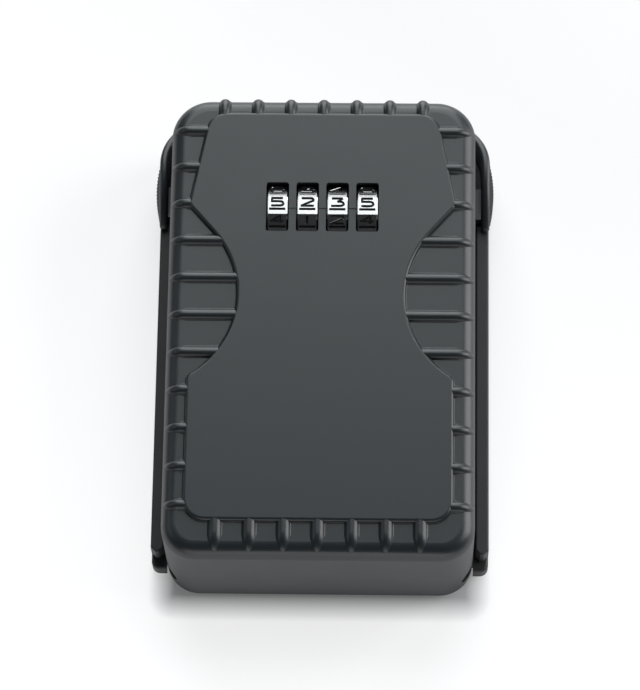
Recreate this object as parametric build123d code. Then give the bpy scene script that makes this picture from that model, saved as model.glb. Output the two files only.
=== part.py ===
from build123d import *
import math
import os

# A wall key lockbox lying on its back: a deep ribbed front cover hinged at the lower end of
# a back plate, four code dials near the top, and two side tabs that are squeezed to open it.
# X runs across the box, Y towards the dial end and Z out of the front. All sizes are millimetres.

# Front cover
cover_width = 92.0
cover_length = 144.6
cover_wall = 2.4
front_wall = 2.6
edge_radius = 4.5
inner_edge_radius = 2.2
top_corner_radius = 11.8
low_corner_radius = 10.0
end_wall_rear_z = 3.0

# Depth, from the back plate forwards: the key space, then the lock
plate_thickness = 5.0
key_depth = 15.0
lock_depth = 26.0

# Raised hourglass panel on the front, set in from the cover's sides and ends
panel_raise = 1.4
panel_top_gap = 5.3
panel_bottom_gap = 10.4
panel_wide_drop = 30.1
waist_drop = 28.5
panel_top_inset = 11.6
panel_wide_inset = 5.7
panel_low_inset = 6.4
waist_inset = 20.8
waist_radius = 30.0
panel_top_corner = 6.5
panel_wide_corner = 2.5
panel_waist_corner = 3.0
panel_low_corner = 6.5
panel_bevel = 1.0
panel_foot = 0.35

# Half-round ribs over the edges of the cover, with a small fillet along each foot
rib_height = 1.35
rib_radius = 1.75
rib_foot = 0.6
rib_root = 1.2
rib_sink = 0.05
rib_overlap = 3.0
side_rib_pitch = 11.82
side_rib_top_gap = 11.03
side_rib_low_gap = 14.0
side_rib_bend = 4.0
end_rib_pitch = 10.0
top_rib_turn = 41.0
low_rib_radius = 2.3
low_rib_turn = 62.0
low_rib_bend = 4.7
low_rib_setback = 6.9

# Code dials
dial_count = 4
dial_pitch = 9.0
dial_radius = 9.0
dial_digits = 10
dial_width = 6.2
dial_chamfer = 0.35
dial_inset = 36.0
dial_depth = 7.4
window_side_gap = 0.3
window_height = 15.7
window_corner = 0.8
pocket_gap = 0.5
window_wall = 1.8
index_line_drop = 0.6
index_line_width = 0.4
index_line_depth = 0.25

# Code sleeves, their shaft and the reset lever
shaft_radius = 2.0
running_gap = 0.05
sleeve_radius = 4.0
sleeve_start = 4.1
disc_start = 3.4
disc_width = 1.4
disc_radius = 5.2
gate_width = 2.2
gate_depth = 1.2
lug_width = 1.0
lug_height = 0.7
lug_length = 0.9
lug_gap = 0.15
reset_travel = 1.0
stack_gap = 0.1
lever_thickness = 1.3
lever_width = 6.0
lever_seat_gap = 2.5
cheek_thickness = 1.5
cheek_gap = 0.5
spring_room = 3.9

# Back plate
flange_width = 4.8
plate_low_gap = 7.0
plate_high_gap = 0.4
plate_low_corner = 2.5
plate_high_corner = 8.0
plate_end_gap = 4.8
foot_gap = 0.25
plate_edge_round = 0.9
tray_floor = 2.6
tray_side_inset = 7.0
tray_end_gap = 6.4
tray_dial_gap = 2.6
tray_corner = 5.0
seat_gap = 0.6
wall_hole_radius = 2.4
wall_hole_head_radius = 4.4
wall_hole_head_depth = 1.6
wall_hole_spacing_x = 56.0
wall_hole_spacing_y = 72.0
wall_hole_centre_y = -10.0

# Side rails on the plate
rail_gap = 0.8
rail_height = 7.0
rail_end_gap = 3.3
rail_lap = 2.6
rail_end_chamfer = 1.5
rail_edge_round = 0.6

# Hinge at the lower end
hinge_inset = 4.8
hinge_rise = 1.0
pin_radius = 1.0
pin_end_inset = 10.0
pin_chamfer = 0.25
eye_radius = 2.0
ear_inner_x = 22.0
ear_width = 6.0
knuckle_width = 5.6
hinge_side_gap = 0.4
arm_below = 1.0
arm_reach = 5.0

# Squeeze tabs, hooks and catches
latch_rise = 13.4
tab_gap = 2.4
tab_travel = 2.0
tab_thickness = 2.6
tab_low_reach = 8.3
tab_plate_gap = 2.0
tab_crown = 6.0
tab_arch_radius = 30.0
tab_wrap_angle = 44.0
tab_end_round = 1.1
tab_crown_round = 1.1
tab_rail_gap = 0.6
grip_count = 19
grip_radius = 0.35
grip_bulge = 0.75
grip_height = 6.0
grip_plate_gap = 3.0
grip_low_gap = 3.6
grip_centre_gap = 16.1
grip_high_gap = 25.2
neck_half = 5.0
neck_height = 6.0
neck_gap = 0.6
block_low_reach = 12.0
block_high_reach = 7.0
block_width = 3.7
block_wall_gap = 0.4
hook_sheet = 1.5
hook_leg_inset = 12.6
hook_nose = 1.9
nose_rise = 0.7
nose_height = 1.9
nose_gap = 0.4
arm_margin = 1.1
ramp_gap = 0.3
ramp_length = 2.7
ramp_height = 2.0
ramp_root = 0.2
ramp_headroom = 1.5
catch_foot_sheet = 1.6
catch_stem_inset = 9.0
catch_stem = 1.8
catch_lip = 1.6
catch_lip_height = 2.0
catch_half = 4.0
catch_foot_inset = 1.1
catch_foot_half = 12.0
catch_screw_inset = 4.2
catch_screw_offset = 9.0

# Lock chassis, detent spring, locking bar and the cover over them
chassis_dial_gap = 2.1
chassis_sheet = 1.5
chassis_low_reach = 12.1
chassis_high_reach = 14.4
chassis_side_inset = 12.1
cheek_low_reach = 5.6
cheek_high_reach = 5.4
boss_radius = 3.0
pilot_radius = 1.0
chassis_screw_inset = 3.5
bar_thickness = 1.3
bar_boss_gap = 3.0
bar_rise = 7.4
bar_width = 5.0
finger_width = 1.2
finger_half = 1.2
finger_gap = 0.5
leg_end_inset = 1.0
leg_width = 3.0
leg_rise = 9.0
leg_depth = 1.8
leg_drop = 2.8
leg_slot_gap = 0.4
detent_gap = 0.15
detent_sheet = 0.4
detent_width = 4.4
detent_strip_width = 2.4
inner_cover_sheet = 1.5
inner_cover_reach = 20.6
inner_cover_end_gap = 6.6
inner_cover_gap = 1.0
inner_cover_low_corner = 1.0
inner_cover_high_corner = 9.0
inner_screw_side_inset = 5.6
inner_screw_top_inset = 17.6
inner_screw_low_gap = 6.0
inner_screw_high_gap = 5.0
seat_inset = 17.1
seat_thickness = 2.0
seat_half = 3.3
spring_drop = 9.0
spring_radius = 2.1
spring_wire = 0.5
spring_turns = 6
sleeve_spring_radius = 2.6
sleeve_spring_wire = 0.35
sleeve_spring_turns = 4

# Screws, shared by every joint in the box
screw_radius = 1.0
screw_head_radius = 1.9
screw_head_height = 1.2
screw_length = 8.0
short_screw_length = 3.6
recess_depth = 0.6
recess_half_length = 1.15
recess_half_width = 0.25

# Round drain holes in the lower corners of the cover
drain_radius = 2.8
drain_rise = 4.0
drain_angle = 31.0

# How far a cut runs past its piece, and how far a fused part runs into its neighbour
past = 1.0
root = 0.5

# Places worked out from the sizes above
half_width = cover_width / 2
half_length = cover_length / 2
inner_half = half_width - cover_wall
inner_cover_z = plate_thickness + key_depth
inner_cover_top_z = inner_cover_z + inner_cover_sheet
front_z = inner_cover_z + lock_depth
shoulder_z = front_z - panel_raise
ceiling_z = shoulder_z - front_wall
side_wall_rear_z = plate_thickness + seat_gap
corner_x = half_width - top_corner_radius
corner_y = half_length - top_corner_radius
side_rib_first_y = half_length - side_rib_top_gap
side_rib_count = int((cover_length - side_rib_top_gap - side_rib_low_gap) / side_rib_pitch) + 1
end_rib_count = int(2 * corner_x / end_rib_pitch) + 1
panel_top_y = half_length - panel_top_gap
panel_bottom_y = panel_bottom_gap - half_length
panel_wide_y = panel_top_y - panel_wide_drop
waist_y = panel_wide_y - waist_drop
panel_top_half = half_width - panel_top_inset
panel_wide_half = half_width - panel_wide_inset
panel_low_half = half_width - panel_low_inset
waist_half = half_width - waist_inset
dial_y = half_length - dial_inset
dial_z = front_z - dial_depth
sleeve_left_x = -(dial_count - 1) / 2 * dial_pitch - sleeve_start
sleeve_right_x = (dial_count - 1) / 2 * dial_pitch + disc_start + disc_width
lever_right_x = sleeve_left_x - stack_gap
left_cheek_x = lever_right_x - lever_thickness - cheek_gap
right_cheek_x = sleeve_right_x + stack_gap + spring_room
chassis_top_z = dial_z - dial_radius - chassis_dial_gap
chassis_floor_z = chassis_top_z - chassis_sheet
chassis_low_y = dial_y - chassis_low_reach
chassis_high_y = dial_y + chassis_high_reach
chassis_half = inner_half - chassis_side_inset
bar_half = chassis_half - chassis_screw_inset - boss_radius - bar_boss_gap
bar_low_y = dial_y + bar_rise
leg_inner_x = bar_half - leg_end_inset - leg_width
leg_low_y = dial_y + leg_rise
leg_high_y = leg_low_y + leg_depth
leg_low_z = inner_cover_z - leg_drop
plate_half_width = half_width + flange_width
plate_low_y = plate_low_gap - half_length
plate_high_y = half_length - plate_high_gap
hinge_y = hinge_inset - half_length
hinge_z = plate_thickness + hinge_rise
plate_end_y = hinge_y + plate_end_gap
tray_half_width = half_width - tray_side_inset
rail_top_z = plate_thickness + rail_height
latch_y = dial_y + latch_rise
neck_high_z = inner_cover_z - ramp_headroom - ramp_height - hook_sheet
neck_low_z = neck_high_z - neck_height
nose_low_z = neck_low_z + nose_rise
nose_high_z = nose_low_z + nose_height
catch_lip_low_z = nose_high_z + nose_gap
catch_top_z = catch_lip_low_z + catch_lip_height
catch_stem_x = inner_half - catch_stem_inset
hook_leg_x = inner_half - hook_leg_inset
ramp_x = leg_inner_x + leg_width + tab_travel + ramp_gap
block_outer_x = inner_half - block_wall_gap
block_inner_x = block_outer_x - block_width
tab_inner_x = half_width + tab_gap
tab_outer_x = tab_inner_x + tab_thickness
tab_low_y = latch_y - tab_low_reach
tab_low_z = plate_thickness + tab_plate_gap
tab_high_z = neck_high_z + tab_crown
rail_high_y = tab_low_y + rail_lap
inner_cover_low_y = dial_y - inner_cover_reach
inner_cover_high_y = half_length - inner_cover_end_gap
seat_x = inner_half - seat_inset
spring_y = latch_y - spring_drop
spring_z = (neck_low_z + neck_high_z) / 2


def block(x0, x1, y0, y1, z0, z1):
    """A box between two corners."""
    solid = Box(x1 - x0, y1 - y0, z1 - z0)
    return Pos((x0 + x1) / 2, (y0 + y1) / 2, (z0 + z1) / 2) * solid


def rod(x, y, z, radius, length, way="z"):
    """A cylinder that starts at a point and runs along +X or +Z."""
    turn = Rot(0, 90, 0) if way == "x" else Rot(0, 0, 0)
    offset = Pos(length / 2, 0, 0) if way == "x" else Pos(0, 0, length / 2)
    return Pos(x, y, z) * offset * turn * Cylinder(radius, length)


def both_sides(solid):
    """The solid and its mirror image on the other side of the box."""
    return [solid, mirror(solid, about=Plane.YZ)]


def join(first, *others):
    """Fuse solids into one."""
    result = first
    for other in others:
        result = result + other
    return result


def outline(half, low_y, high_y, low_radius, high_radius):
    """A rectangle across the box with rounded lower and upper corners."""
    face = Pos(0, (low_y + high_y) / 2) * Rectangle(2 * half, high_y - low_y)
    low = [v for v in face.vertices() if v.Y < (low_y + high_y) / 2]
    face = fillet(low, low_radius)
    high = [v for v in face.vertices() if v.Y > high_y - 0.01]
    return fillet(high, high_radius)


def cover_outline(inset):
    """The cover's outline, drawn in by an even amount."""
    return outline(
        half_width - inset,
        -half_length + inset,
        half_length - inset,
        low_corner_radius - inset,
        top_corner_radius - inset,
    )


def wall_half_width(y):
    """Half the cover's width at a height along it, where its top corners draw in."""
    into_corner = y - (half_length - top_corner_radius)
    if into_corner <= 0:
        return half_width
    return half_width - top_corner_radius + math.sqrt(top_corner_radius**2 - into_corner**2)


def tangent_point(point, centre, radius):
    """Where a line from a point outside a circle touches its upper side."""
    dx = point[0] - centre[0]
    dy = point[1] - centre[1]
    distance = math.hypot(dx, dy)
    turn = math.atan2(dy, dx) + math.acos(radius / distance)
    return (centre[0] + radius * math.cos(turn), centre[1] + radius * math.sin(turn))


def round_near(face, points, radius):
    """Round the corners of a face that lie at the points, on both sides of the box."""
    places = [(sign * x, y) for x, y in points for sign in (-1, 1)]
    chosen = [
        v for v in face.vertices() if any(math.hypot(v.X - x, v.Y - y) < 0.05 for x, y in places)
    ]
    return fillet(chosen, radius)


def panel_face():
    """The hourglass outline of the raised panel."""
    centre = (waist_half + waist_radius, waist_y)
    top = (panel_top_half, panel_top_y)
    wide = (panel_wide_half, panel_wide_y)
    upper = tangent_point(wide, centre, waist_radius)
    drop = math.sqrt(waist_radius**2 - (centre[0] - panel_low_half) ** 2)
    lower = (panel_low_half, waist_y - drop)
    low = (panel_low_half, panel_bottom_y)
    right = [
        Line((0, panel_top_y), top),
        Line(top, wide),
        Line(wide, upper),
        ThreePointArc(upper, (waist_half, waist_y), lower),
        Line(lower, low),
        Line(low, (0, panel_bottom_y)),
    ]
    left = [mirror(edge, about=Plane.YZ) for edge in right]
    face = make_face([*right, *left])
    face = round_near(face, [top], panel_top_corner)
    face = round_near(face, [wide], panel_wide_corner)
    face = round_near(face, [lower], panel_waist_corner)
    return round_near(face, [low], panel_low_corner)


def rib_edges(radius):
    """The right half of a rib's section, from its crown down past the foot fillet. Its origin is
    the centre of the rib's round back."""
    foot_level = radius - rib_height
    fillet_level = foot_level - rib_sink / 2 + rib_foot
    fillet_x = math.sqrt((radius + rib_foot) ** 2 - fillet_level**2)
    share = radius / (radius + rib_foot)
    touch = (fillet_x * share, fillet_level * share)
    foot = (fillet_x, fillet_level - rib_foot)
    slope = math.atan2(-fillet_level, -fillet_x)
    middle = (slope - math.pi / 2) / 2
    hollow = (fillet_x + rib_foot * math.cos(middle), fillet_level + rib_foot * math.sin(middle))
    crown = (0, radius)
    shoulder = (radius * math.sin(math.pi / 6), radius * math.cos(math.pi / 6))
    root_y = -rib_root
    return [
        ThreePointArc(crown, shoulder, touch),
        ThreePointArc(touch, hollow, foot),
        Line(foot, (fillet_x, root_y)),
        Line((fillet_x, root_y), (0, root_y)),
    ]


def rib(start, turn_x, bend, turn, radius=rib_radius, nose=False):
    """A rib along +X that bends down over the cover's edge, with a round nose if it ends proud."""
    right = rib_edges(radius)
    left = [mirror(edge, about=Plane.YZ) for edge in right]
    swing = math.radians(turn)
    axis_z = shoulder_z + rib_height - radius

    def on_bend(angle):
        return (turn_x + bend * math.sin(angle), 0, axis_z - bend * (1 - math.cos(angle)))

    path = Line((start, 0, axis_z), (turn_x, 0, axis_z)) + ThreePointArc(
        (turn_x, 0, axis_z), on_bend(swing / 2), on_bend(swing)
    )
    section = Plane(origin=(start, 0, axis_z), x_dir=(0, 1, 0), z_dir=(1, 0, 0))
    body = sweep(section * make_face([*right, *left]), path=path)
    if nose:
        along = (math.cos(swing), 0, -math.sin(swing))
        outward = (math.sin(swing), 0, math.cos(swing))
        end = Plane(origin=on_bend(swing), x_dir=(0, 1, 0), z_dir=along)
        half = end * make_face([*right, Line((0, -rib_root), (0, radius))])
        body = body + revolve(half, axis=Axis(on_bend(swing), outward), revolution_arc=-180)
    return body


def cover_ribs():
    """Every rib round the cover's front edge."""
    side_start = waist_half - rib_overlap
    ribs = []
    for i in range(side_rib_count):
        y = side_rib_first_y - i * side_rib_pitch
        turn_x = wall_half_width(y + rib_radius) - rib_sink - rib_radius - side_rib_bend
        ribs += both_sides(Pos(0, y, 0) * rib(side_start, turn_x, side_rib_bend, 90))
    top_bend = edge_radius + rib_height - rib_radius
    top = rib(panel_top_y - rib_overlap, half_length - edge_radius, top_bend, top_rib_turn, nose=True)
    low_start = -panel_bottom_y - rib_overlap
    low = rib(low_start, half_length - low_rib_setback, low_rib_bend, low_rib_turn, low_rib_radius)
    for i in range(end_rib_count):
        x = (i - (end_rib_count - 1) / 2) * end_rib_pitch
        ribs.append(Pos(x, 0, 0) * Rot(0, 0, 90) * top)
        ribs.append(Pos(x, 0, 0) * Rot(0, 0, -90) * low)
    return ribs


def dial_x(i):
    """The centre of a dial, counted from the left."""
    return (i - (dial_count - 1) / 2) * dial_pitch


def panelled_body():
    """The cover's outer form with its raised panel, a fillet at the panel's foot and a rounded edge."""
    body = Pos(0, 0, end_wall_rear_z) * extrude(cover_outline(0), shoulder_z - end_wall_rear_z)
    body = fillet(body.edges().group_by(Axis.Z)[-1], edge_radius)
    overlap = front_wall / 2
    body = body + Pos(0, 0, shoulder_z - overlap) * extrude(panel_face(), panel_raise + overlap)
    shoulder = body.faces().filter_by(Axis.Z).group_by(Axis.Z)[-2].sort_by(SortBy.AREA)[-1]
    foot = [edge for wire in shoulder.inner_wires() for edge in wire.edges()]
    body = fillet(foot, panel_foot)
    return fillet(body.edges().group_by(Axis.Z)[-1], panel_bevel)


def dial_cuts():
    """The four windows, the hollow behind them and the index lines beside them."""
    window_half = dial_width / 2 + window_side_gap
    cuts = []
    for i in range(dial_count):
        window = RectangleRounded(2 * window_half, window_height, window_corner)
        depth = front_z - ceiling_z + 2 * past
        cuts.append(Pos(dial_x(i), dial_y, ceiling_z - past) * extrude(window, depth))
    left = sleeve_left_x - window_side_gap
    right = sleeve_right_x + reset_travel + window_side_gap
    reach = dial_radius + pocket_gap
    hollow = rod(left, dial_y, dial_z, reach, right - left, "x")
    behind = block(left, right, dial_y - reach, dial_y + reach, dial_z - reach, front_z - window_wall)
    cuts.append(hollow & behind)
    low = dial_y - index_line_drop - index_line_width / 2
    for i in range(dial_count - 1):
        left = dial_x(i) + window_half
        right = dial_x(i + 1) - window_half
        cuts.append(
            block(left, right, low, low + index_line_width, front_z - index_line_depth, front_z + past)
        )
    return cuts


def drain_hole():
    """A round hole through the right lower corner."""
    turn = math.radians(-drain_angle)
    outward = (math.cos(turn), math.sin(turn), 0)
    centre = (half_width - low_corner_radius, low_corner_radius - half_length, plate_thickness + drain_rise)
    plane = Plane(origin=centre, x_dir=(-math.sin(turn), math.cos(turn), 0), z_dir=outward)
    start = low_corner_radius - 2 * cover_wall
    return plane * Pos(0, 0, start) * extrude(Circle(drain_radius), 2 * cover_wall + past)


def screw_boss(x, y, low_z):
    """A post from the cover's ceiling with a pilot hole in its end."""
    post = rod(x, y, low_z, boss_radius, ceiling_z + root - low_z)
    return post - rod(x, y, low_z, pilot_radius, screw_length)


def chassis_screw_places():
    """Where the lock chassis is screwed to the cover."""
    x = chassis_half - chassis_screw_inset
    heights = (chassis_low_y + chassis_screw_inset, chassis_high_y - chassis_screw_inset)
    return [(sign * x, y) for sign in (-1, 1) for y in heights]


def inner_screw_places():
    """Where the inner cover is screwed to the cover."""
    low = (inner_half - inner_screw_side_inset, inner_cover_low_y + inner_screw_low_gap)
    high = (inner_half - inner_screw_top_inset, inner_cover_high_y - inner_screw_high_gap)
    return [(sign * x, y) for sign in (-1, 1) for x, y in (low, high)]


def knuckle_spans():
    """The X spans of the cover's hinge knuckles on the right side."""
    outer = ear_inner_x + ear_width + hinge_side_gap
    inner = ear_inner_x - hinge_side_gap
    return [(inner - knuckle_width, inner), (outer, outer + knuckle_width)]


def cover_knuckles():
    """The hinge knuckles on the cover's lower wall."""
    wall_y = cover_wall / 2 - half_length
    knuckles = []
    for x0, x1 in knuckle_spans():
        ring = rod(x0, hinge_y, hinge_z, eye_radius, x1 - x0, "x")
        web = block(x0, x1, wall_y, hinge_y, hinge_z - eye_radius, hinge_z + eye_radius)
        bore = rod(x0 - past, hinge_y, hinge_z, pin_radius + running_gap, x1 - x0 + 2 * past, "x")
        knuckles += both_sides(join(ring, web) - bore)
    return knuckles


def front_cover():
    """The deep ribbed cover with its windows, bosses and hinge knuckles."""
    body = join(panelled_body(), *cover_ribs())
    hollow = extrude(cover_outline(cover_wall), ceiling_z)
    hollow = fillet(hollow.edges().group_by(Axis.Z)[-1], inner_edge_radius)
    body = body - hollow
    bosses = [screw_boss(x, y, chassis_top_z) for x, y in chassis_screw_places()]
    bosses += [screw_boss(x, y, inner_cover_top_z) for x, y in inner_screw_places()]
    body = join(body, *bosses, *cover_knuckles())
    notch_low = plate_end_y - 2 * seat_gap
    notch_high = plate_high_y + seat_gap
    notch = block(tray_half_width, half_width + past, notch_low, notch_high, 0, side_wall_rear_z)
    window = block(
        inner_half - past,
        half_width + past,
        latch_y - neck_half - neck_gap,
        latch_y + neck_half + neck_gap,
        neck_low_z - neck_gap,
        neck_high_z + neck_gap,
    )
    for cut in [*both_sides(notch), *both_sides(window), *both_sides(drain_hole()), *dial_cuts()]:
        body = body - cut
    return body


def plate_body():
    """The plate's outline, with its side flanges and lower feet."""
    inner = extrude(cover_outline(cover_wall + seat_gap), plate_thickness)
    flange_face = outline(
        plate_half_width, plate_low_y, plate_high_y, plate_low_corner, plate_high_corner
    )
    flange = extrude(flange_face, plate_thickness)
    flange = fillet(flange.edges().group_by(Axis.Z)[-1], plate_edge_round)
    low_x = half_width + foot_gap
    low_cut = block(-low_x, low_x, -half_length, plate_end_y, -past, plate_thickness + past)
    high_x = tray_half_width + seat_gap
    high_cut = block(-high_x, high_x, plate_end_y, half_length, -past, plate_thickness + past)
    return join(inner, flange - high_cut) - low_cut


def wall_hole_places():
    """The four wall screw holes."""
    return [
        (sx * wall_hole_spacing_x / 2, wall_hole_centre_y + sy * wall_hole_spacing_y / 2)
        for sx in (-1, 1)
        for sy in (-1, 1)
    ]


def hinge_ears():
    """Two arms that reach from the plate's lower end to the hinge pin."""
    x0 = ear_inner_x
    x1 = ear_inner_x + ear_width
    root_y = plate_end_y + arm_reach
    eye = rod(x0, hinge_y, hinge_z, eye_radius, ear_width, "x")
    arm = block(x0, x1, hinge_y, root_y, hinge_z - arm_below, hinge_z + eye_radius)
    foot = block(x0, x1, plate_end_y, root_y, 0, hinge_z + eye_radius)
    bore = rod(x0 - past, hinge_y, hinge_z, pin_radius, ear_width + 2 * past, "x")
    return both_sides(join(eye, arm, foot) - bore)


def catch_screw_places():
    """The screws of the right catch."""
    x = inner_half - catch_screw_inset
    return [(x, latch_y + sign * catch_screw_offset) for sign in (-1, 1)]


def back_plate():
    """The plate that is screwed to the wall."""
    plate = plate_body()
    tray_face = outline(
        tray_half_width, plate_end_y + tray_end_gap, dial_y - tray_dial_gap, tray_corner, tray_corner
    )
    plate = plate - Pos(0, 0, tray_floor) * extrude(tray_face, plate_thickness)
    plate = join(plate, *hinge_ears())
    for x, y in wall_hole_places():
        plate = plate - rod(x, y, -past, wall_hole_radius, tray_floor + 2 * past)
        sink = Pos(x, y, tray_floor - wall_hole_head_depth / 2) * Cone(
            wall_hole_radius, wall_hole_head_radius, wall_hole_head_depth
        )
        plate = plate - sink
    for x, y in catch_screw_places():
        hole = rod(x, y, plate_thickness - short_screw_length, pilot_radius, short_screw_length)
        for cut in both_sides(hole):
            plate = plate - cut
    return plate


def side_rail():
    """The right rail on the plate's flange, pointed at its lower end."""
    inner_x = half_width + rail_gap
    low_y = plate_low_y + rail_end_gap
    rail = block(inner_x, plate_half_width, low_y, rail_high_y, plate_thickness, rail_top_z)
    corners = [e for e in rail.edges().filter_by(Axis.Z) if e.center().Y < (low_y + rail_high_y) / 2]
    rail = chamfer(corners, rail_end_chamfer)
    return fillet(rail.edges().group_by(Axis.Z)[-1], rail_edge_round)


def catch():
    """The right catch that the hook holds under its lip."""
    foot_top = plate_thickness + catch_foot_sheet
    stem_outer = catch_stem_x + catch_stem
    foot_outer = inner_half - catch_foot_inset
    low = latch_y - catch_half
    high = latch_y + catch_half
    foot_low = latch_y - catch_foot_half
    foot_high = latch_y + catch_foot_half
    foot = block(catch_stem_x, foot_outer, foot_low, foot_high, plate_thickness, foot_top)
    stem = block(catch_stem_x, stem_outer, low, high, plate_thickness, catch_top_z)
    lip = block(catch_stem_x - catch_lip, stem_outer, low, high, catch_lip_low_z, catch_top_z)
    body = join(foot, stem, lip)
    for x, y in catch_screw_places():
        body = body - rod(x, y, plate_thickness - past, screw_radius, catch_foot_sheet + 2 * past)
    return body


def screw(x, y, seat_z, length, head_up):
    """A pan-head screw whose head sits on seat_z, above it or below it."""
    shank_z = seat_z - length if head_up else seat_z
    head_z = seat_z if head_up else seat_z - screw_head_height
    recess_z = head_z + screw_head_height - recess_depth if head_up else head_z
    slot = block(
        -recess_half_length, recess_half_length, -recess_half_width, recess_half_width, 0, recess_depth
    )
    cross = join(slot, Rot(0, 0, 90) * slot)
    shank = rod(x, y, shank_z, screw_radius, length)
    head = rod(x, y, head_z, screw_head_radius, screw_head_height)
    return join(shank, head) - Pos(x, y, recess_z) * cross


def hinge_pin():
    """The hinge pin, with slightly rounded ends."""
    half = half_width - pin_end_inset
    pin = rod(-half, hinge_y, hinge_z, pin_radius, 2 * half, "x")
    return chamfer(pin.edges().filter_by(GeomType.CIRCLE), pin_chamfer)


def dial_wheel(i):
    """A ten-sided dial with chamfered rims and drive slots in its bore."""
    half = dial_width / 2
    face = Plane.YZ * RegularPolygon(dial_radius, dial_digits, rotation=90 + 180 / dial_digits)
    wheel = extrude(face, half, both=True)
    rims = wheel.faces().group_by(Axis.X)[0].edges() + wheel.faces().group_by(Axis.X)[-1].edges()
    wheel = chamfer(rims, dial_chamfer)
    wheel = wheel - rod(-dial_width, 0, 0, sleeve_radius + running_gap, 2 * dial_width, "x")
    depth = sleeve_radius + lug_height + lug_gap
    groove_x = -half + lug_length + stack_gap
    slot_half = lug_width / 2 + lug_gap
    for k in range(dial_digits):
        slot = block(-half, groove_x, -slot_half, slot_half, 0, depth)
        wheel = wheel - Rot(360 / dial_digits * k, 0, 0) * slot
    wheel = wheel - rod(groove_x, 0, 0, depth, reset_travel + lug_gap, "x")
    return Pos(dial_x(i), dial_y, dial_z) * wheel


def code_sleeve(i):
    """A sleeve that the dial drives, with a gated disc beside the dial."""
    disc_end = disc_start + disc_width
    body = rod(-sleeve_start, 0, 0, sleeve_radius, sleeve_start + disc_start, "x")
    disc = rod(disc_start, 0, 0, disc_radius, disc_width, "x")
    gate_half = gate_width / 2
    gate = block(disc_start, disc_end, -gate_half, gate_half, -disc_radius - past, gate_depth - disc_radius)
    lug_x = -dial_width / 2
    lug = block(lug_x, lug_x + lug_length, -lug_width / 2, lug_width / 2, 0, sleeve_radius + lug_height)
    body = join(body, disc - gate, lug)
    length = sleeve_start + disc_end + 2 * past
    bore = rod(-sleeve_start - past, 0, 0, shaft_radius + running_gap, length, "x")
    return Pos(dial_x(i), dial_y, dial_z) * (body - bore)


def dial_shaft():
    """The fixed shaft that carries the sleeves."""
    start = left_cheek_x - cheek_thickness
    end = right_cheek_x + cheek_thickness
    return rod(start, dial_y, dial_z, shaft_radius, end - start, "x")


def lock_chassis():
    """The folded frame that holds the dial shaft."""
    low = dial_y - cheek_low_reach
    high = dial_y + cheek_high_reach
    left_x = left_cheek_x - cheek_thickness
    right_x = right_cheek_x + cheek_thickness
    floor = block(
        -chassis_half, chassis_half, chassis_low_y, chassis_high_y, chassis_floor_z, chassis_top_z
    )
    left = block(left_x, left_cheek_x, low, high, chassis_floor_z, ceiling_z)
    right = block(right_cheek_x, right_x, low, high, chassis_floor_z, ceiling_z)
    body = join(floor, left, right)
    body = body - rod(-chassis_half, dial_y, dial_z, shaft_radius, 2 * chassis_half, "x")
    for x, y in chassis_screw_places():
        body = body - rod(x, y, chassis_floor_z - past, screw_radius, chassis_sheet + 2 * past)
    body = body - lever_slot(chassis_floor_z, chassis_top_z)
    for slot in leg_slots(chassis_floor_z, chassis_top_z):
        body = body - slot
    return body


def lever_slot(low_z, high_z):
    """The slot that the reset lever slides in, through one sheet."""
    return block(
        lever_right_x - lever_thickness - cheek_gap,
        lever_right_x + reset_travel + cheek_gap,
        dial_y - lever_width / 2 - cheek_gap,
        dial_y + lever_width / 2 + cheek_gap,
        low_z - past,
        high_z + past,
    )


def leg_slots(low_z, high_z):
    """The slots for the locking bar's legs, through one sheet."""
    slot = block(
        leg_inner_x - leg_slot_gap,
        leg_inner_x + leg_width + leg_slot_gap,
        leg_low_y - leg_slot_gap,
        leg_high_y + leg_slot_gap,
        low_z - past,
        high_z + past,
    )
    return both_sides(slot)


def locking_bar():
    """The bar whose fingers drop into the gates when the code is right."""
    top = chassis_top_z + bar_thickness
    tip_z = dial_z - disc_radius - finger_gap
    low = dial_y - finger_half
    parts = []
    for i in range(dial_count):
        x0 = dial_x(i) + disc_start + (disc_width - finger_width) / 2
        x1 = x0 + finger_width
        parts.append(block(x0, x1, low, bar_low_y + root, chassis_top_z, top))
        parts.append(block(x0, x1, low, dial_y + finger_half, chassis_top_z, tip_z))
    leg = block(leg_inner_x, leg_inner_x + leg_width, leg_low_y, leg_high_y, leg_low_z, top)
    bar = block(-bar_half, bar_half, bar_low_y, bar_low_y + bar_width, chassis_top_z, top)
    return join(bar, *parts, *both_sides(leg))


def detent_spring():
    """A leaf spring with one finger for each dial."""
    tip_y = dial_y - dial_radius - detent_gap
    low_y = tip_y - detent_strip_width
    base_z = chassis_top_z
    strip = block(left_cheek_x, right_cheek_x, low_y, tip_y, base_z, base_z + detent_sheet)
    fingers = []
    for i in range(dial_count):
        x0 = dial_x(i) - detent_width / 2
        x1 = dial_x(i) + detent_width / 2
        fingers.append(block(x0, x1, tip_y - detent_sheet, tip_y, base_z, dial_z + detent_width / 2))
    return join(strip, *fingers)


def reset_lever():
    """The lever that shifts the sleeves out of the dials while a new code is set."""
    x0 = lever_right_x - lever_thickness
    low_y = dial_y - lever_width / 2
    high_y = dial_y + lever_width / 2
    blade = block(x0, lever_right_x, low_y, high_y, leg_low_z, ceiling_z - cheek_gap)
    foot_x = lever_seat_gap - seat_x
    foot = block(foot_x, lever_right_x, low_y, high_y, leg_low_z, leg_low_z + lever_thickness)
    fork_half = shaft_radius + running_gap
    fork = block(
        x0 - past, lever_right_x + past, dial_y - fork_half, dial_y + fork_half, dial_z - fork_half, front_z
    )
    return join(blade, foot) - fork


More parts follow.
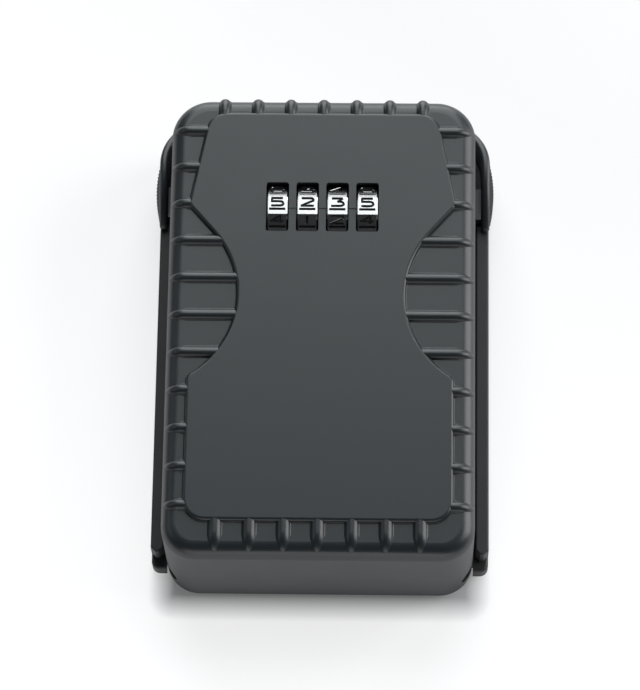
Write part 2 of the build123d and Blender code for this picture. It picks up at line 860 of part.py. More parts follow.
def inner_cover():
    """The tray that closes the lock from the key space."""
    half = inner_half - inner_cover_gap
    low_y = inner_cover_low_y
    face = outline(half, low_y, inner_cover_high_y, inner_cover_low_corner, inner_cover_high_corner)
    body = Pos(0, 0, inner_cover_z) * extrude(face, inner_cover_sheet)
    wall_half = half - inner_cover_low_corner
    wall_top = ceiling_z - seat_gap
    wall = block(-wall_half, wall_half, low_y, low_y + inner_cover_sheet, inner_cover_z, wall_top)
    seat = block(
        seat_x,
        seat_x + seat_thickness,
        spring_y - seat_half,
        spring_y + seat_half,
        neck_low_z,
        inner_cover_z + root,
    )
    body = join(body, wall, *both_sides(seat))
    for x, y in inner_screw_places():
        body = body - rod(x, y, inner_cover_z - past, screw_radius, inner_cover_sheet + 2 * past)
    body = body - lever_slot(inner_cover_z, inner_cover_top_z)
    for slot in leg_slots(inner_cover_z, inner_cover_top_z):
        body = body - slot
    return body


def wrap_point(radius, angle):
    """A point on an arc about the centre of the cover's right top corner."""
    turn = math.radians(angle)
    return (corner_x + radius * math.cos(turn), corner_y + radius * math.sin(turn))


def tab_pad():
    """The pad of the right squeeze tab, which follows the cover's top corner and is crowned."""
    inner_radius = tab_inner_x - corner_x
    outer_radius = tab_outer_x - corner_x
    inner_end = wrap_point(inner_radius, tab_wrap_angle)
    outer_end = wrap_point(outer_radius, tab_wrap_angle)
    edges = [
        Line((tab_inner_x, tab_low_y), (tab_outer_x, tab_low_y)),
        Line((tab_outer_x, tab_low_y), (tab_outer_x, corner_y)),
        ThreePointArc((tab_outer_x, corner_y), wrap_point(outer_radius, tab_wrap_angle / 2), outer_end),
        Line(outer_end, inner_end),
        ThreePointArc(inner_end, wrap_point(inner_radius, tab_wrap_angle / 2), (tab_inner_x, corner_y)),
        Line((tab_inner_x, corner_y), (tab_inner_x, tab_low_y)),
    ]
    face = make_face(edges)
    low_corners = face.vertices().group_by(Axis.Y)[0]
    face = fillet(low_corners, tab_end_round)
    pad = Pos(0, 0, tab_low_z) * extrude(face, tab_high_z - tab_low_z)
    reach = tab_outer_x + past - corner_x
    crown = rod(corner_x, corner_y, tab_high_z - tab_arch_radius, tab_arch_radius, reach, "x")
    lap_y = rail_high_y + tab_rail_gap
    lap_z = rail_top_z + tab_rail_gap
    lap = block(tab_inner_x - past, tab_outer_x + past, tab_low_y - past, lap_y, 0, lap_z)
    pad = (pad & crown) - lap
    top_z = lap_z + tab_end_round
    rounded = [e for e in pad.edges() if e.center().Z > top_z and e.length > 2 * tab_thickness]
    return fillet(rounded, tab_crown_round)


def grip_pad():
    """The bulged grip on the tab's outer side, with a row of fine upright ribs."""
    low = (tab_outer_x, tab_low_y + grip_low_gap)
    middle = (tab_outer_x + grip_bulge, tab_low_y + grip_centre_gap)
    high_y = tab_low_y + grip_high_gap
    outer_radius = tab_outer_x - corner_x
    high = (corner_x + math.sqrt(outer_radius**2 - (high_y - corner_y) ** 2), high_y)
    front = ThreePointArc(low, middle, high)
    inner_x = tab_inner_x + tab_thickness / 2
    back = Polyline(high, (inner_x, corner_y), (inner_x, low[1]), low).edges()
    low_z = plate_thickness + grip_plate_gap
    bodies = [Pos(0, 0, low_z) * extrude(make_face([front, *back]), grip_height)]
    for k in range(grip_count):
        spot = front @ ((k + 0.5) / grip_count)
        bodies.append(rod(spot.X, spot.Y, low_z, grip_radius, grip_height))
    return join(*bodies)


def squeeze_tab():
    """The right squeeze tab: its pad, grip, neck and inner block."""
    neck_outer_x = tab_inner_x + tab_thickness / 2
    low_y = latch_y - neck_half
    high_y = latch_y + neck_half
    neck = block(block_inner_x, neck_outer_x, low_y, high_y, neck_low_z, neck_high_z)
    block_low_y = latch_y - block_low_reach
    block_high_y = latch_y + block_high_reach
    inner = block(block_inner_x, block_outer_x, block_low_y, block_high_y, neck_low_z, neck_high_z)
    body = join(tab_pad(), grip_pad(), neck, inner)
    for x, y in hook_screw_places():
        body = body - rod(x, y, neck_high_z - short_screw_length, pilot_radius, short_screw_length)
    return body


def hook_screw_places():
    """The screws that hold the right hook to its tab."""
    x = (block_inner_x + block_outer_x) / 2
    return [(x, latch_y - neck_half / 2), (x, latch_y + neck_half / 2)]


def latch_hook():
    """The right hook: a folded plate that reaches under the catch's lip."""
    top = neck_high_z + hook_sheet
    low = latch_y - neck_half
    high = latch_y + neck_half
    arm_low = leg_low_y - arm_margin
    arm_high = leg_high_y + arm_margin
    arm_inner_x = leg_inner_x - 2 * arm_margin
    leg_outer_x = hook_leg_x + hook_sheet
    plate = block(hook_leg_x, block_outer_x, low, high, neck_high_z, top)
    leg = block(hook_leg_x, leg_outer_x, low, high, nose_low_z, top)
    nose = block(hook_leg_x, leg_outer_x + hook_nose, low, high, nose_low_z, nose_high_z)
    arm = block(arm_inner_x, hook_leg_x + root, arm_low, arm_high, neck_high_z, top)
    ramp_end_x = ramp_x + ramp_length
    ramp_edges = Polyline(
        (ramp_x, top - ramp_root),
        (ramp_x, top),
        (ramp_end_x, top + ramp_height),
        (ramp_end_x, top - ramp_root),
        close=True,
    )
    side = Plane(origin=(0, arm_high, 0), x_dir=(1, 0, 0), z_dir=(0, -1, 0))
    ramp = side * extrude(make_face(ramp_edges), arm_high - arm_low)
    body = join(plate, leg, nose, arm, ramp)
    for x, y in hook_screw_places():
        body = body - rod(x, y, neck_high_z - past, screw_radius, hook_sheet + 2 * past)
    return body


def coil_spring(start, end, y, z, radius, wire, turns):
    """An open coil along X between two seats."""
    length = end - start - 2 * wire
    path = Helix(pitch=length / turns, height=length, radius=radius)
    section = Plane(origin=path @ 0, z_dir=path % 0) * Circle(wire / 2)
    coil = sweep(section, path=path, is_frenet=True)
    return Pos(start + wire, y, z) * Rot(0, 90, 0) * coil


def write(name, shape):
    """Save one node."""
    export_step(shape, "parts/" + name + ".step")


def mirrored(shape):
    """The same piece for the left side."""
    return mirror(shape, about=Plane.YZ)


def main():
    """Write every node of the lockbox."""
    os.makedirs("parts", exist_ok=True)
    write("front_cover", front_cover())
    write("back_plate", back_plate())
    write("hinge_pin", hinge_pin())
    write("dial_shaft", dial_shaft())
    write("lock_chassis", lock_chassis())
    write("locking_bar", locking_bar())
    write("detent_spring", detent_spring())
    write("reset_lever", reset_lever())
    write("inner_cover", inner_cover())
    for i in range(dial_count):
        write("dial_wheel_" + str(i + 1), dial_wheel(i))
        write("code_sleeve_" + str(i + 1), code_sleeve(i))
    spring_start = seat_x + seat_thickness
    pairs = {
        "side_rail": side_rail(),
        "catch": catch(),
        "squeeze_tab": squeeze_tab(),
        "latch_hook": latch_hook(),
        "return_spring": coil_spring(
            spring_start, block_inner_x, spring_y, spring_z, spring_radius, spring_wire, spring_turns
        ),
    }
    for name, shape in pairs.items():
        write(name + "_right", shape)
        write(name + "_left", mirrored(shape))
    write(
        "sleeve_spring",
        coil_spring(
            sleeve_right_x + stack_gap,
            right_cheek_x,
            dial_y,
            dial_z,
            sleeve_spring_radius,
            sleeve_spring_wire,
            sleeve_spring_turns,
        ),
    )
    chassis_screws = [screw(x, y, chassis_floor_z, screw_length, False) for x, y in chassis_screw_places()]
    write("chassis_screws", Compound(children=chassis_screws))
    inner_screws = [screw(x, y, inner_cover_z, screw_length, False) for x, y in inner_screw_places()]
    write("inner_cover_screws", Compound(children=inner_screws))
    catch_screws = []
    for x, y in catch_screw_places():
        catch_screws += both_sides(screw(x, y, plate_thickness + catch_foot_sheet, short_screw_length, True))
    write("catch_screws", Compound(children=catch_screws))
    hook_top_z = neck_high_z + hook_sheet
    hook_screws = [screw(x, y, hook_top_z, short_screw_length, True) for x, y in hook_screw_places()]
    write("hook_screws_right", Compound(children=hook_screws))
    write("hook_screws_left", Compound(children=[mirrored(s) for s in hook_screws]))


main()
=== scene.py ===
import math
import bmesh
import bpy
from mathutils import Matrix, Vector


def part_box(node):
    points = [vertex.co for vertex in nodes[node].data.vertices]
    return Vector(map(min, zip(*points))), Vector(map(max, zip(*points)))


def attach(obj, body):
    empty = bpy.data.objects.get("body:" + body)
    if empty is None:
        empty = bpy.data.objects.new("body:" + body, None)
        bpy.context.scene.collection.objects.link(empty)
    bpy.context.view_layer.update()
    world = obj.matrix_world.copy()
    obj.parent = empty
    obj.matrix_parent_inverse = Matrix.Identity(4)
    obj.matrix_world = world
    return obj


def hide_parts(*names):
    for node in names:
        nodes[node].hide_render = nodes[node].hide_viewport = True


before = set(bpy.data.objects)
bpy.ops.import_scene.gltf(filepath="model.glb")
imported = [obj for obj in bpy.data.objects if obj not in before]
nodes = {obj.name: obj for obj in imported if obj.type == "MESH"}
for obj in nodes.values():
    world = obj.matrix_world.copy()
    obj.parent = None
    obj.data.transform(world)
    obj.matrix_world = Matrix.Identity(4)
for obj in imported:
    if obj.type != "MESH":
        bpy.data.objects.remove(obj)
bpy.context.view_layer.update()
mm = 0.001


def hexColour(text):
    # sRGB hex to the linear colour that a shader takes
    values = []
    for i in (0, 2, 4):
        c = int(text[i:i + 2], 16) / 255
        values.append(c / 12.92 if c <= 0.04045 else ((c + 0.055) / 1.055) ** 2.4)
    return (*values, 1.0)


def perMm(size):
    return 1000.0 / size    # texture scale whose pattern repeats about every size millimetres


def addNode(tree, kind, settings=None, links=None):
    # settings and links go to sockets by name or number, and other settings to the node itself
    node = tree.nodes.new(kind)
    for name, value in (settings or {}).items():
        if isinstance(name, int) or name in node.inputs:
            node.inputs[name].default_value = value
        else:
            setattr(node, name, value)
    for name, source in (links or {}).items():
        tree.links.new(source, node.inputs[name])
    return node


# Materials

coatFinish = {
    "colours": ("1e2326", "1b2023"), "patchSize": 22, "peelSize": 0.9, "gritSize": 0.22,
    "roughness": (0.33, 0.39), "peelHeight": 0.005, "gritHeight": 0.002, "specular": 0.5,
    "steepRoughness": 0.22, "steepHeights": (0.5, 0.2),
}
plateFinish = {
    "colours": ("1e1f20", "191a1b"), "patchSize": 14, "peelSize": 0.7, "gritSize": 0.25,
    "roughness": (0.50, 0.60), "peelHeight": 0.008, "gritHeight": 0.006, "specular": 0.45,
}
railFinish = {
    "colours": ("232425", "1f2021"), "patchSize": 9, "peelSize": 0.5, "gritSize": 0.18,
    "roughness": (0.52, 0.62), "peelHeight": 0.004, "gritHeight": 0.006, "specular": 0.45,
}
innerFinish = {
    "colours": ("26282a", "212325"), "patchSize": 12, "peelSize": 0.8, "gritSize": 0.3,
    "roughness": (0.45, 0.6), "peelHeight": 0.006, "gritHeight": 0.01, "specular": 0.5,
}
acetalFinish = {
    "colours": ("141516", "101112"), "patchSize": 6, "peelSize": 0.5, "gritSize": 0.2,
    "roughness": (0.42, 0.52), "peelHeight": 0.002, "gritHeight": 0.003, "specular": 0.45,
}
zincFinish = {"colours": ("b9bcbf", "c4bfae"), "grain": (0.15, 6.0), "roughness": (0.28, 0.42)}
pinFinish = {"colours": ("a9acb0", "9c9fa4"), "grain": (0.08, 3.0), "roughness": (0.2, 0.3)}
springFinish = {"colours": ("8f9398", "7e8187"), "grain": (0.1, 2.0), "roughness": (0.22, 0.34)}
screwFinish = {"colours": ("c9c6bd", "b6b3a8"), "grain": (0.3, 0.6), "roughness": (0.3, 0.45)}
metalGrain = {"driftSize": 8, "lineHeight": 0.004, "lineStrength": 0.6}
chromeFinish = {
    "colours": ("acadae", "a2a3a4"), "hazeSize": 1.6, "roughness": (0.14, 0.22), "waveHeight": 0.0012,
}
enamelFinish = {"colours": ("0b0b0c", "151516"), "blotSize": 0.5, "roughness": (0.35, 0.6)}


def startMaterial(name):
    material = bpy.data.materials.new(name)
    material.use_nodes = True
    tree = material.node_tree
    tree.nodes.clear()
    shader = addNode(tree, "ShaderNodeBsdfPrincipled")
    addNode(tree, "ShaderNodeOutputMaterial", {}, {"Surface": shader.outputs["BSDF"]})
    place = addNode(tree, "ShaderNodeTexCoord").outputs["Object"]
    return material, tree, shader, place


def varySurface(tree, shader, finish, colourNoise, glossNoise):
    # lets the colour and the gloss drift between the finish's two values
    low, high = finish["roughness"]
    first, second = finish["colours"]
    gloss = addNode(
        tree, "ShaderNodeMapRange", {"To Min": low, "To Max": high}, {"Value": glossNoise.outputs["Fac"]}
    )
    colour = addNode(
        tree, "ShaderNodeMix", {"data_type": "RGBA", 6: hexColour(first), 7: hexColour(second)},
        {0: colourNoise.outputs["Fac"]},
    )
    tree.links.new(gloss.outputs["Result"], shader.inputs["Roughness"])
    tree.links.new(colour.outputs[2], shader.inputs["Base Color"])
    return gloss


def coarserOnWalls(tree, shader, finish, gloss):
    # with one roughness all over, the walls mirrored more of the pale table than in the photo
    normal = addNode(tree, "ShaderNodeTexCoord").outputs["Normal"]
    height = addNode(tree, "ShaderNodeSeparateXYZ", {}, {"Vector": normal})
    start, full = finish["steepHeights"]
    steep = addNode(
        tree, "ShaderNodeMapRange", {"From Min": start, "From Max": full, "To Max": finish["steepRoughness"]},
        {"Value": height.outputs["Z"]},
    )
    total = addNode(
        tree, "ShaderNodeMath", {"operation": "ADD"}, {0: gloss.outputs["Result"], 1: steep.outputs["Result"]}
    )
    tree.links.new(total.outputs["Value"], shader.inputs["Roughness"])


def coatedSurface(name, finish):
    # a skin with a faint orange peel and a fine grit, and a slow drift in tone
    material, tree, shader, place = startMaterial(name)
    noises = {}
    for part, detail in (("patch", 3.0), ("peel", 2.0), ("grit", 4.0)):
        settings = {"Scale": perMm(finish[part + "Size"]), "Detail": detail}
        noises[part] = addNode(tree, "ShaderNodeTexNoise", settings, {"Vector": place})
    gloss = varySurface(tree, shader, finish, noises["patch"], noises["patch"])
    if "steepRoughness" in finish:
        coarserOnWalls(tree, shader, finish, gloss)
    peelBump = addNode(
        tree, "ShaderNodeBump", {"Strength": 1.0, "Distance": finish["peelHeight"] * mm},
        {"Height": noises["peel"].outputs["Fac"]},
    )
    gritBump = addNode(
        tree, "ShaderNodeBump", {"Strength": 1.0, "Distance": finish["gritHeight"] * mm},
        {"Height": noises["grit"].outputs["Fac"], "Normal": peelBump.outputs["Normal"]},
    )
    tree.links.new(gritBump.outputs["Normal"], shader.inputs["Normal"])
    shader.inputs["Specular IOR Level"].default_value = finish["specular"]
    return material


def drawnMetal(name, finish):
    # fine lines along the sheet or wire, and a warm or cool drift as plated steel has
    material, tree, shader, place = startMaterial(name)
    across, along = finish["grain"]
    stretch = addNode(
        tree, "ShaderNodeMapping", {"Scale": (perMm(along), perMm(across), perMm(across))}, {"Vector": place}
    )
    lines = addNode(
        tree, "ShaderNodeTexNoise", {"Scale": 1.0, "Detail": 3.0}, {"Vector": stretch.outputs["Vector"]}
    )
    drift = addNode(
        tree, "ShaderNodeTexNoise", {"Scale": perMm(metalGrain["driftSize"]), "Detail": 2.0},
        {"Vector": place},
    )
    varySurface(tree, shader, finish, drift, lines)
    bump = addNode(
        tree, "ShaderNodeBump",
        {"Strength": metalGrain["lineStrength"], "Distance": metalGrain["lineHeight"] * mm},
        {"Height": lines.outputs["Fac"]},
    )
    tree.links.new(bump.outputs["Normal"], shader.inputs["Normal"])
    shader.inputs["Metallic"].default_value = 1.0
    return material


def chromePlate():
    # nickel chrome over a cast dial, with a faint haze and cast ripple; its colour is darker than
    # clean chrome, so that the engraved strokes stay as bold as in the photo
    material, tree, shader, place = startMaterial("chrome_plated_cast_dial")
    haze = addNode(
        tree, "ShaderNodeTexNoise", {"Scale": perMm(chromeFinish["hazeSize"]), "Detail": 4.0},
        {"Vector": place},
    )
    varySurface(tree, shader, chromeFinish, haze, haze)
    bump = addNode(
        tree, "ShaderNodeBump", {"Strength": 1.0, "Distance": chromeFinish["waveHeight"] * mm},
        {"Height": haze.outputs["Fac"]},
    )
    tree.links.new(bump.outputs["Normal"], shader.inputs["Normal"])
    shader.inputs["Metallic"].default_value = 1.0
    return material


def enamelFill():
    # black enamel wiped into the engraved digits: slightly uneven and semi-gloss
    material, tree, shader, place = startMaterial("black_enamel_fill")
    blot = addNode(
        tree, "ShaderNodeTexNoise", {"Scale": perMm(enamelFinish["blotSize"]), "Detail": 3.0},
        {"Vector": place},
    )
    varySurface(tree, shader, enamelFinish, blot, blot)
    return material


materials = {
    "satinCoat": coatedSurface("satin_powder_coated_zinc", coatFinish),
    "blackPlate": coatedSurface("black_e_coated_zinc", plateFinish),
    "railPlastic": coatedSurface("fine_grain_moulded_abs", railFinish),
    "innerPlastic": coatedSurface("moulded_black_abs", innerFinish),
    "chrome": chromePlate(),
    "enamel": enamelFill(),
    "zincSteel": drawnMetal("zinc_plated_sheet_steel", zincFinish),
    "pinSteel": drawnMetal("ground_steel_pin", pinFinish),
    "springSteel": drawnMetal("drawn_spring_steel", springFinish),
    "screwSteel": drawnMetal("nickel_plated_screw_steel", screwFinish),
    "acetal": coatedSurface("moulded_black_acetal", acetalFinish),
}
print("materials made:", len(materials))

nodeFinishes = {
    "satinCoat": ["front_cover", "squeeze_tab_left", "squeeze_tab_right"],
    "blackPlate": ["back_plate"],
    "railPlastic": ["side_rail_left", "side_rail_right"],
    "innerPlastic": ["inner_cover"],
    "zincSteel": [
        "lock_chassis", "locking_bar", "reset_lever", "catch_left", "catch_right",
        "latch_hook_left", "latch_hook_right",
    ],
    "pinSteel": ["hinge_pin", "dial_shaft"],
    "springSteel": ["detent_spring", "return_spring_left", "return_spring_right", "sleeve_spring"],
    "screwSteel": [
        "chassis_screws", "inner_cover_screws", "catch_screws", "hook_screws_left", "hook_screws_right",
    ],
    "acetal": ["code_sleeve_1", "code_sleeve_2", "code_sleeve_3", "code_sleeve_4"],
}


def dressNodes():
    for finish, names in nodeFinishes.items():
        for name in names:
            slots = nodes[name].data.materials
            slots.clear()
            slots.append(materials[finish])


dressNodes()
print("CAD nodes dressed:", sum(len(names) for names in nodeFinishes.values()))


# Code dials: ten facets, each with an engraved digit over an engraved bar, filled with black enamel

dials = {
    "shown": [5, 2, 3, 5],
    "facets": 10,
    "radius": 9.0,
    "halfWidth": 1.95,
    "halfHeight": 1.2,
    "digitRise": 1.0,
    "barDrop": 1.25,
    "barHalf": 2.45,
    "lipRadius": 0.64,
    "lipHeight": 0.43,
    "fillRadius": 0.36,
    "fillHeight": -0.02,
    "bendSteps": 6,
    "toolRoundness": 2,
    "sharpTurn": 45,
    "runStep": 0.007,
    "weldGap": 0.001,
    "trimGap": 0.02,
}


def bend(cx, cy, rx, ry, start, end):
    steps = dials["bendSteps"]
    turns = [math.radians(start + (end - start) * k / steps) for k in range(steps + 1)]
    return [(cx + rx * math.cos(t), cy + ry * math.sin(t)) for t in turns]


def ring(left, right, low, high, radius):
    corners = [(right - radius, high - radius, 0), (left + radius, high - radius, 90)]
    corners += [(left + radius, low + radius, 180), (right - radius, low + radius, 270)]
    points = []
    for cx, cy, start in corners:
        points += bend(cx, cy, radius, radius, start, start + 90)
    return points


def digitStrokes(digit):
    # centre lines of a wide sans digit: lists of (points, closed)
    w, h = dials["halfWidth"], dials["halfHeight"]
    two = [(-0.9 * w, h)] + bend(0.6 * w, 0.6 * h, 0.3 * w, 0.4 * h, 90, -50)
    two += [(-0.9 * w, -h), (w, -h)]
    three = [(-0.85 * w, h), (0.75 * w, h), (0.1 * w, 0.15 * h)]
    three += bend(0.45 * w, -0.42 * h, 0.5 * w, 0.57 * h, 90, -90) + [(-0.95 * w, -h)]
    five = [(0.85 * w, h), (-0.85 * w, h), (-0.85 * w, 0.15 * h)]
    five += bend(0.45 * w, -0.42 * h, 0.45 * w, 0.57 * h, 90, -90) + [(-0.95 * w, -h)]
    six = [(0.8 * w, h)] + bend(-0.45 * w, 0.25 * h, 0.5 * w, 0.75 * h, 90, 180)
    six += bend(-0.45 * w, -0.45 * h, 0.5 * w, 0.55 * h, 180, 270)
    six += bend(0.45 * w, -0.45 * h, 0.5 * w, 0.55 * h, -90, 90) + [(-0.9 * w, 0.1 * h)]
    highLoop = ring(-0.75 * w, 0.75 * w, 0.05 * h, h, 0.45 * h)
    lowLoop = ring(-0.95 * w, 0.95 * w, -h, 0.05 * h, 0.5 * h)
    strokes = {
        0: [(ring(-w, w, -h, h, 0.85 * h), True)],
        1: [([(0, h), (0, -h)], False)],
        2: [(two, False)],
        3: [(three, False)],
        4: [([(0.45 * w, -h), (0.45 * w, h), (-w, -0.4 * h), (w, -0.4 * h)], False)],
        5: [(five, False)],
        6: [(six, False)],
        7: [([(-0.9 * w, h), (0.9 * w, h), (-0.3 * w, -h)], False)],
        8: [(highLoop, True), (lowLoop, True)],
        9: [([(-x, -y) for x, y in six], False)],
    }
    return strokes[digit]


def splitStroke(points, reach):
    # straight and gently bent runs, each drawn on past a sharp corner so that the corner is full
    runs = [[Vector(points[0])]]
    for i in range(1, len(points)):
        here = Vector(points[i])
        runs[-1].append(here)
        if i + 1 == len(points):
            break
        before = (here - Vector(points[i - 1])).normalized()
        after = (Vector(points[i + 1]) - here).normalized()
        if before.angle(after) > math.radians(dials["sharpTurn"]):
            runs[-1][-1] = here + before * reach
            runs.append([here - after * reach])
    return runs


def facetPoint(turn, x, v, lift):
    # a point on the facet that is turned from the front towards the top of the box
    apothem = dials["radius"] * math.cos(math.pi / dials["facets"])
    y = v * math.cos(turn) + (apothem + lift) * math.sin(turn)
    z = -v * math.sin(turn) + (apothem + lift) * math.cos(turn)
    return Vector((x, y, z)) * mm


def meshOf(obj):
    depsgraph = bpy.context.evaluated_depsgraph_get()
    return bpy.data.meshes.new_from_object(obj.evaluated_get(depsgraph), depsgraph=depsgraph)


def meshObject(name, mesh):
    obj = bpy.data.objects.new(name, mesh)
    bpy.context.scene.collection.objects.link(obj)
    return obj


def weld(mesh):
    # closes the seams between a mesh's patches, so that a cutter has an inside and an outside
    form = bmesh.new()
    form.from_mesh(mesh)
    bmesh.ops.remove_doubles(form, verts=form.verts, dist=dials["weldGap"] * mm)
    bmesh.ops.recalc_face_normals(form, faces=form.faces)
    form.to_mesh(mesh)
    form.free()


def engravingTool(name, shown, radius, lift, material):
    # round cutters along every digit and bar of one dial, centred on the dial's axis
    curve = bpy.data.curves.new(name, "CURVE")
    curve.dimensions = "3D"
    curve.bevel_depth = radius * mm
    curve.bevel_resolution = dials["toolRoundness"]
    curve.use_fill_caps = True
    bar = ([(-dials["barHalf"], -dials["barDrop"]), (dials["barHalf"], -dials["barDrop"])], False)
    for k in range(dials["facets"]):
        turn = 2 * math.pi * k / dials["facets"]
        digit = [
            ([(x, y + dials["digitRise"]) for x, y in points], closed)
            for points, closed in digitStrokes((shown + k) % dials["facets"])
        ]
        number = 0
        for points, closed in [bar, *digit]:
            for run in [points] if closed else splitStroke(points, dials["fillRadius"] / 2):
                spline = curve.splines.new("POLY")
                spline.points.add(len(run) - 1)
                spline.use_cyclic_u = closed
                height = lift + number * dials["runStep"]    # so that no two cutters share a face
                for target, (x, v) in zip(spline.points, run):
                    target.co = (*facetPoint(turn, x, v, height), 1.0)
                number += 1
    tool = bpy.data.objects.new(name, curve)
    bpy.context.scene.collection.objects.link(tool)
    mesh = meshOf(tool)
    bpy.data.objects.remove(tool)
    weld(mesh)
    mesh.materials.clear()
    mesh.materials.append(material)
    return meshObject(name, mesh)


def cut(obj, tool):
    modifier = obj.modifiers.new("cut", "BOOLEAN")
    modifier.operation = "DIFFERENCE"
    modifier.solver = "EXACT"
    modifier.use_self = True
    modifier.material_mode = "TRANSFER"
    modifier.object = tool
    mesh = meshOf(obj)
    obj.modifiers.clear()
    obj.data = mesh
    bpy.data.objects.remove(tool)


def trimToFacets(mesh):
    # removes slivers of a cutter that a cut has left standing above the facets
    apothem = dials["radius"] * math.cos(math.pi / dials["facets"])
    limit = (apothem + dials["trimGap"]) * mm
    turns = [2 * math.pi * k / dials["facets"] for k in range(dials["facets"])]
    form = bmesh.new()
    form.from_mesh(mesh)
    stray = [
        vert for vert in form.verts
        if max(vert.co.y * math.sin(t) + vert.co.z * math.cos(t) for t in turns) > limit
    ]
    bmesh.ops.delete(form, geom=stray, context="VERTS")
    form.to_mesh(mesh)
    form.free()


def makeDial(index, shown):
    node = nodes["dial_wheel_" + str(index + 1)]
    low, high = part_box(node.name)
    centre = (low + high) / 2
    mesh = node.data.copy()
    mesh.transform(Matrix.Translation(-centre))
    mesh.materials.clear()
    mesh.materials.append(materials["chrome"])
    weld(mesh)
    dial = meshObject("engraved_dial_" + str(index + 1), mesh)
    cut(dial, engravingTool("lip", shown, dials["lipRadius"], dials["lipHeight"], materials["chrome"]))
    cut(dial, engravingTool("fill", shown, dials["fillRadius"], dials["fillHeight"], materials["enamel"]))
    trimToFacets(dial.data)
    dial.data.transform(Matrix.Translation(centre))
    dial.data.shade_flat()
    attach(dial, "dial_" + str(index + 1))
    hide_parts(node.name)
    return dial


for index, shown in enumerate(dials["shown"]):
    dial = makeDial(index, shown)
    print("dial", index + 1, "faces:", len(dial.data.polygons))


# Floor, lights and camera

floor = {
    "half": 3.0,
    "colours": ("9fa0a1", "9b9c9d"),
    "cloudSize": 300,
    "roughness": (0.6, 0.6),
    "glow": 0.65,
    "glowColour": "ffffff",
    "glowTilt": (-0.6, -0.9),
    "glowSwing": 0.12,
    "seat": (0.044, 0.070),
    "seatShift": (0.0, -0.002),
    "shadowReach": 0.008,
    "shadowGlow": 0.15,
}
lights = {
    "overheadSoftbox": {"place": (0.0, 1.685, 1.414), "size": (1.8, 2.54), "power": 54, "colour": "f7fcfd"},
    "rightSoftbox": {"place": (1.2, 0.3, 0.62), "size": (1.2, 1.0), "power": 19, "colour": "ffffff"},
    "frontSoftbox": {"place": (0.1, -1.6, 0.32), "size": (2.0, 0.7), "power": 9, "colour": "ffffff"},
    "backSoftbox": {"place": (0.0, 1.9, 0.25), "size": (1.8, 0.8), "power": 14, "colour": "ffffff"},
    "leftFill": {"place": (-1.3, 0.1, 0.9), "size": (0.8, 0.9), "power": 2, "colour": "f6faff"},
}
lightAim = (0, 0, 0.02)
world = {"colour": "e9edf2", "strength": 0.05}
camera = {
    "place": (0.02238, -0.36163, 1.05682),
    "aim": (-0.00041, -0.00205, 0.03),
    "up": (-0.0086, 0.9437, 0.3307),
    "lens": 188.72,
    "sensor": 36.0,
    "clip": (0.05, 20.0),
}


def tableGlow(tree, place):
    # painted light: a glow that evens out the lamps' light on the table, and that is dimmed close to the box:
    # this is a painted contact shadow, which an even glow would wash out
    swing = floor["glowSwing"]
    least, most = floor["glow"] - swing, floor["glow"] + swing
    tilt = addNode(
        tree, "ShaderNodeVectorMath", {"operation": "DOT_PRODUCT", 1: (*floor["glowTilt"], 0)}, {0: place}
    )
    glow = addNode(
        tree, "ShaderNodeMapRange",
        {"From Min": -swing, "From Max": swing, "To Min": least, "To Max": most},
        {"Value": tilt.outputs["Value"]},
    )
    outside = place
    for operation, constant in (
        ("SUBTRACT", (*floor["seatShift"], 0)),
        ("ABSOLUTE", None),
        ("SUBTRACT", (*floor["seat"], 0)),
        ("MAXIMUM", (0, 0, 0)),
    ):
        settings = {"operation": operation}
        if constant:
            settings[1] = constant
        outside = addNode(tree, "ShaderNodeVectorMath", settings, {0: outside}).outputs["Vector"]
    distance = addNode(tree, "ShaderNodeVectorMath", {"operation": "LENGTH"}, {0: outside})
    # painted contact shadow: the glow drops towards the box's seat
    paintedShadow = addNode(
        tree, "ShaderNodeMapRange", {"From Max": floor["shadowReach"], "To Min": floor["shadowGlow"]},
        {"Value": distance.outputs["Value"]},
    )
    strength = addNode(
        tree, "ShaderNodeMath", {"operation": "MULTIPLY"},
        {0: glow.outputs["Result"], 1: paintedShadow.outputs["Result"]},
    )
    return strength.outputs["Value"]


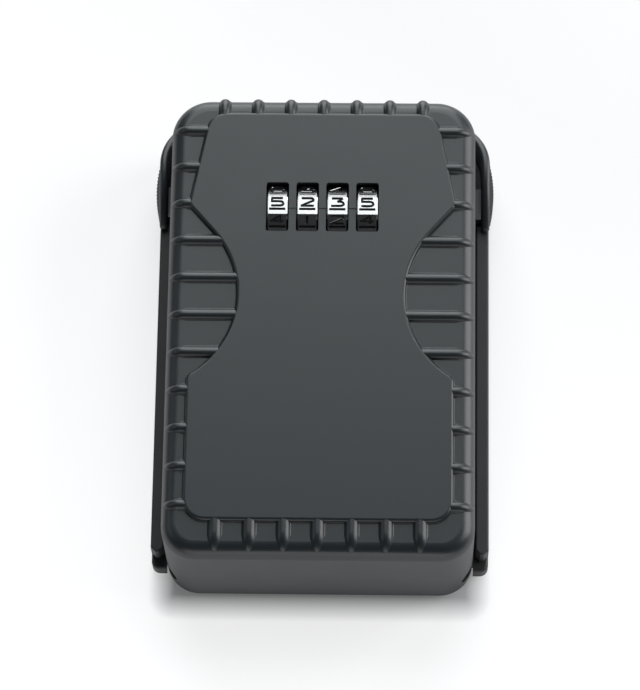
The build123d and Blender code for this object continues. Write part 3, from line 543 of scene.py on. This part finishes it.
def makeFloor():
    form = bmesh.new()
    half = floor["half"]
    corners = [form.verts.new((x * half, y * half, 0)) for x, y in ((-1, -1), (1, -1), (1, 1), (-1, 1))]
    form.faces.new(corners)
    mesh = bpy.data.meshes.new("table_top")
    form.to_mesh(mesh)
    form.free()
    # a pale table that glows: painted light that evens out the lamps and washes out their shadows, with a
    # painted contact shadow close to the box
    material, tree, shader, place = startMaterial("glowing_table_painted_shadow")
    cloud = addNode(
        tree, "ShaderNodeTexNoise", {"Scale": perMm(floor["cloudSize"]), "Detail": 2.0}, {"Vector": place}
    )
    varySurface(tree, shader, floor, cloud, cloud)
    shader.inputs["Emission Color"].default_value = hexColour(floor["glowColour"])
    tree.links.new(tableGlow(tree, place), shader.inputs["Emission Strength"])
    mesh.materials.append(material)
    meshObject("table_top", mesh)


def aimed(place, aim, up=(0, 1, 0)):
    # a placing whose -Z looks from place to aim
    place, aim = Vector(place), Vector(aim)
    forward = (aim - place).normalized()
    right = forward.cross(Vector(up)).normalized()
    turn = Matrix((right, right.cross(forward), -forward)).transposed().to_4x4()
    return Matrix.Translation(place) @ turn


def makeLights():
    for name, light in lights.items():
        data = bpy.data.lights.new(name, "AREA")
        data.shape = "RECTANGLE"
        data.size, data.size_y = light["size"]
        data.energy = light["power"]
        data.color = hexColour(light["colour"])[:3]
        obj = bpy.data.objects.new(name, data)
        obj.matrix_world = aimed(light["place"], lightAim)
        bpy.context.scene.collection.objects.link(obj)
    sky = bpy.data.worlds.new("studio")
    sky.use_nodes = True
    sky.node_tree.nodes["Background"].inputs["Color"].default_value = hexColour(world["colour"])
    sky.node_tree.nodes["Background"].inputs["Strength"].default_value = world["strength"]
    bpy.context.scene.world = sky


def makeCamera():
    data = bpy.data.cameras.new("photo_camera")
    data.lens = camera["lens"]
    data.sensor_width = camera["sensor"]
    data.clip_start, data.clip_end = camera["clip"]
    obj = bpy.data.objects.new("photo_camera", data)
    obj.matrix_world = aimed(camera["place"], camera["aim"], camera["up"])
    bpy.context.scene.collection.objects.link(obj)
    bpy.context.scene.camera = obj


makeFloor()
makeLights()
makeCamera()
bpy.context.scene.view_settings.view_transform = "Standard"
print("floor, lights and camera placed")
